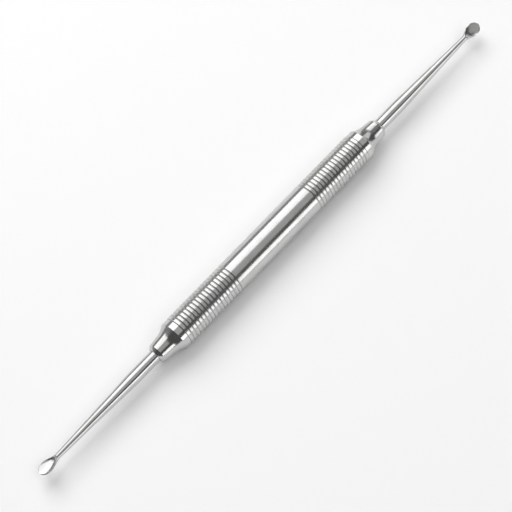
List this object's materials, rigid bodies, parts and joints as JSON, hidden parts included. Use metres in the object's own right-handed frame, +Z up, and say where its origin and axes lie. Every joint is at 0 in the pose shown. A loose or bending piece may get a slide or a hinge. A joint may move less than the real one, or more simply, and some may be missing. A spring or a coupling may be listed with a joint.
{
  "type": "double-ended surgical curette",
  "caption": "Double-ended surgical curette: a hollow round handle with ring-grooved grips, and a tapered shank with a small hollow spoon at each end.",
  "frame": {"origin": "on the table, below the middle of the handle", "axes": "+X along the handle towards the right-hand spoon, +Z up, with the hollows of both spoons facing up"},
  "size_m": [0.182, 0.0094, 0.0095],
  "materials": {
    "handle": "satin",
    "cap": "polished",
    "spoon": "polished"
  },
  "bodies": {
    "root": {"handle_tube": "handle", "end_cap_right": "cap", "end_cap_left": "cap", "spoon_end_right": "spoon", "spoon_end_left": "spoon"}
  },
  "joints": []
}
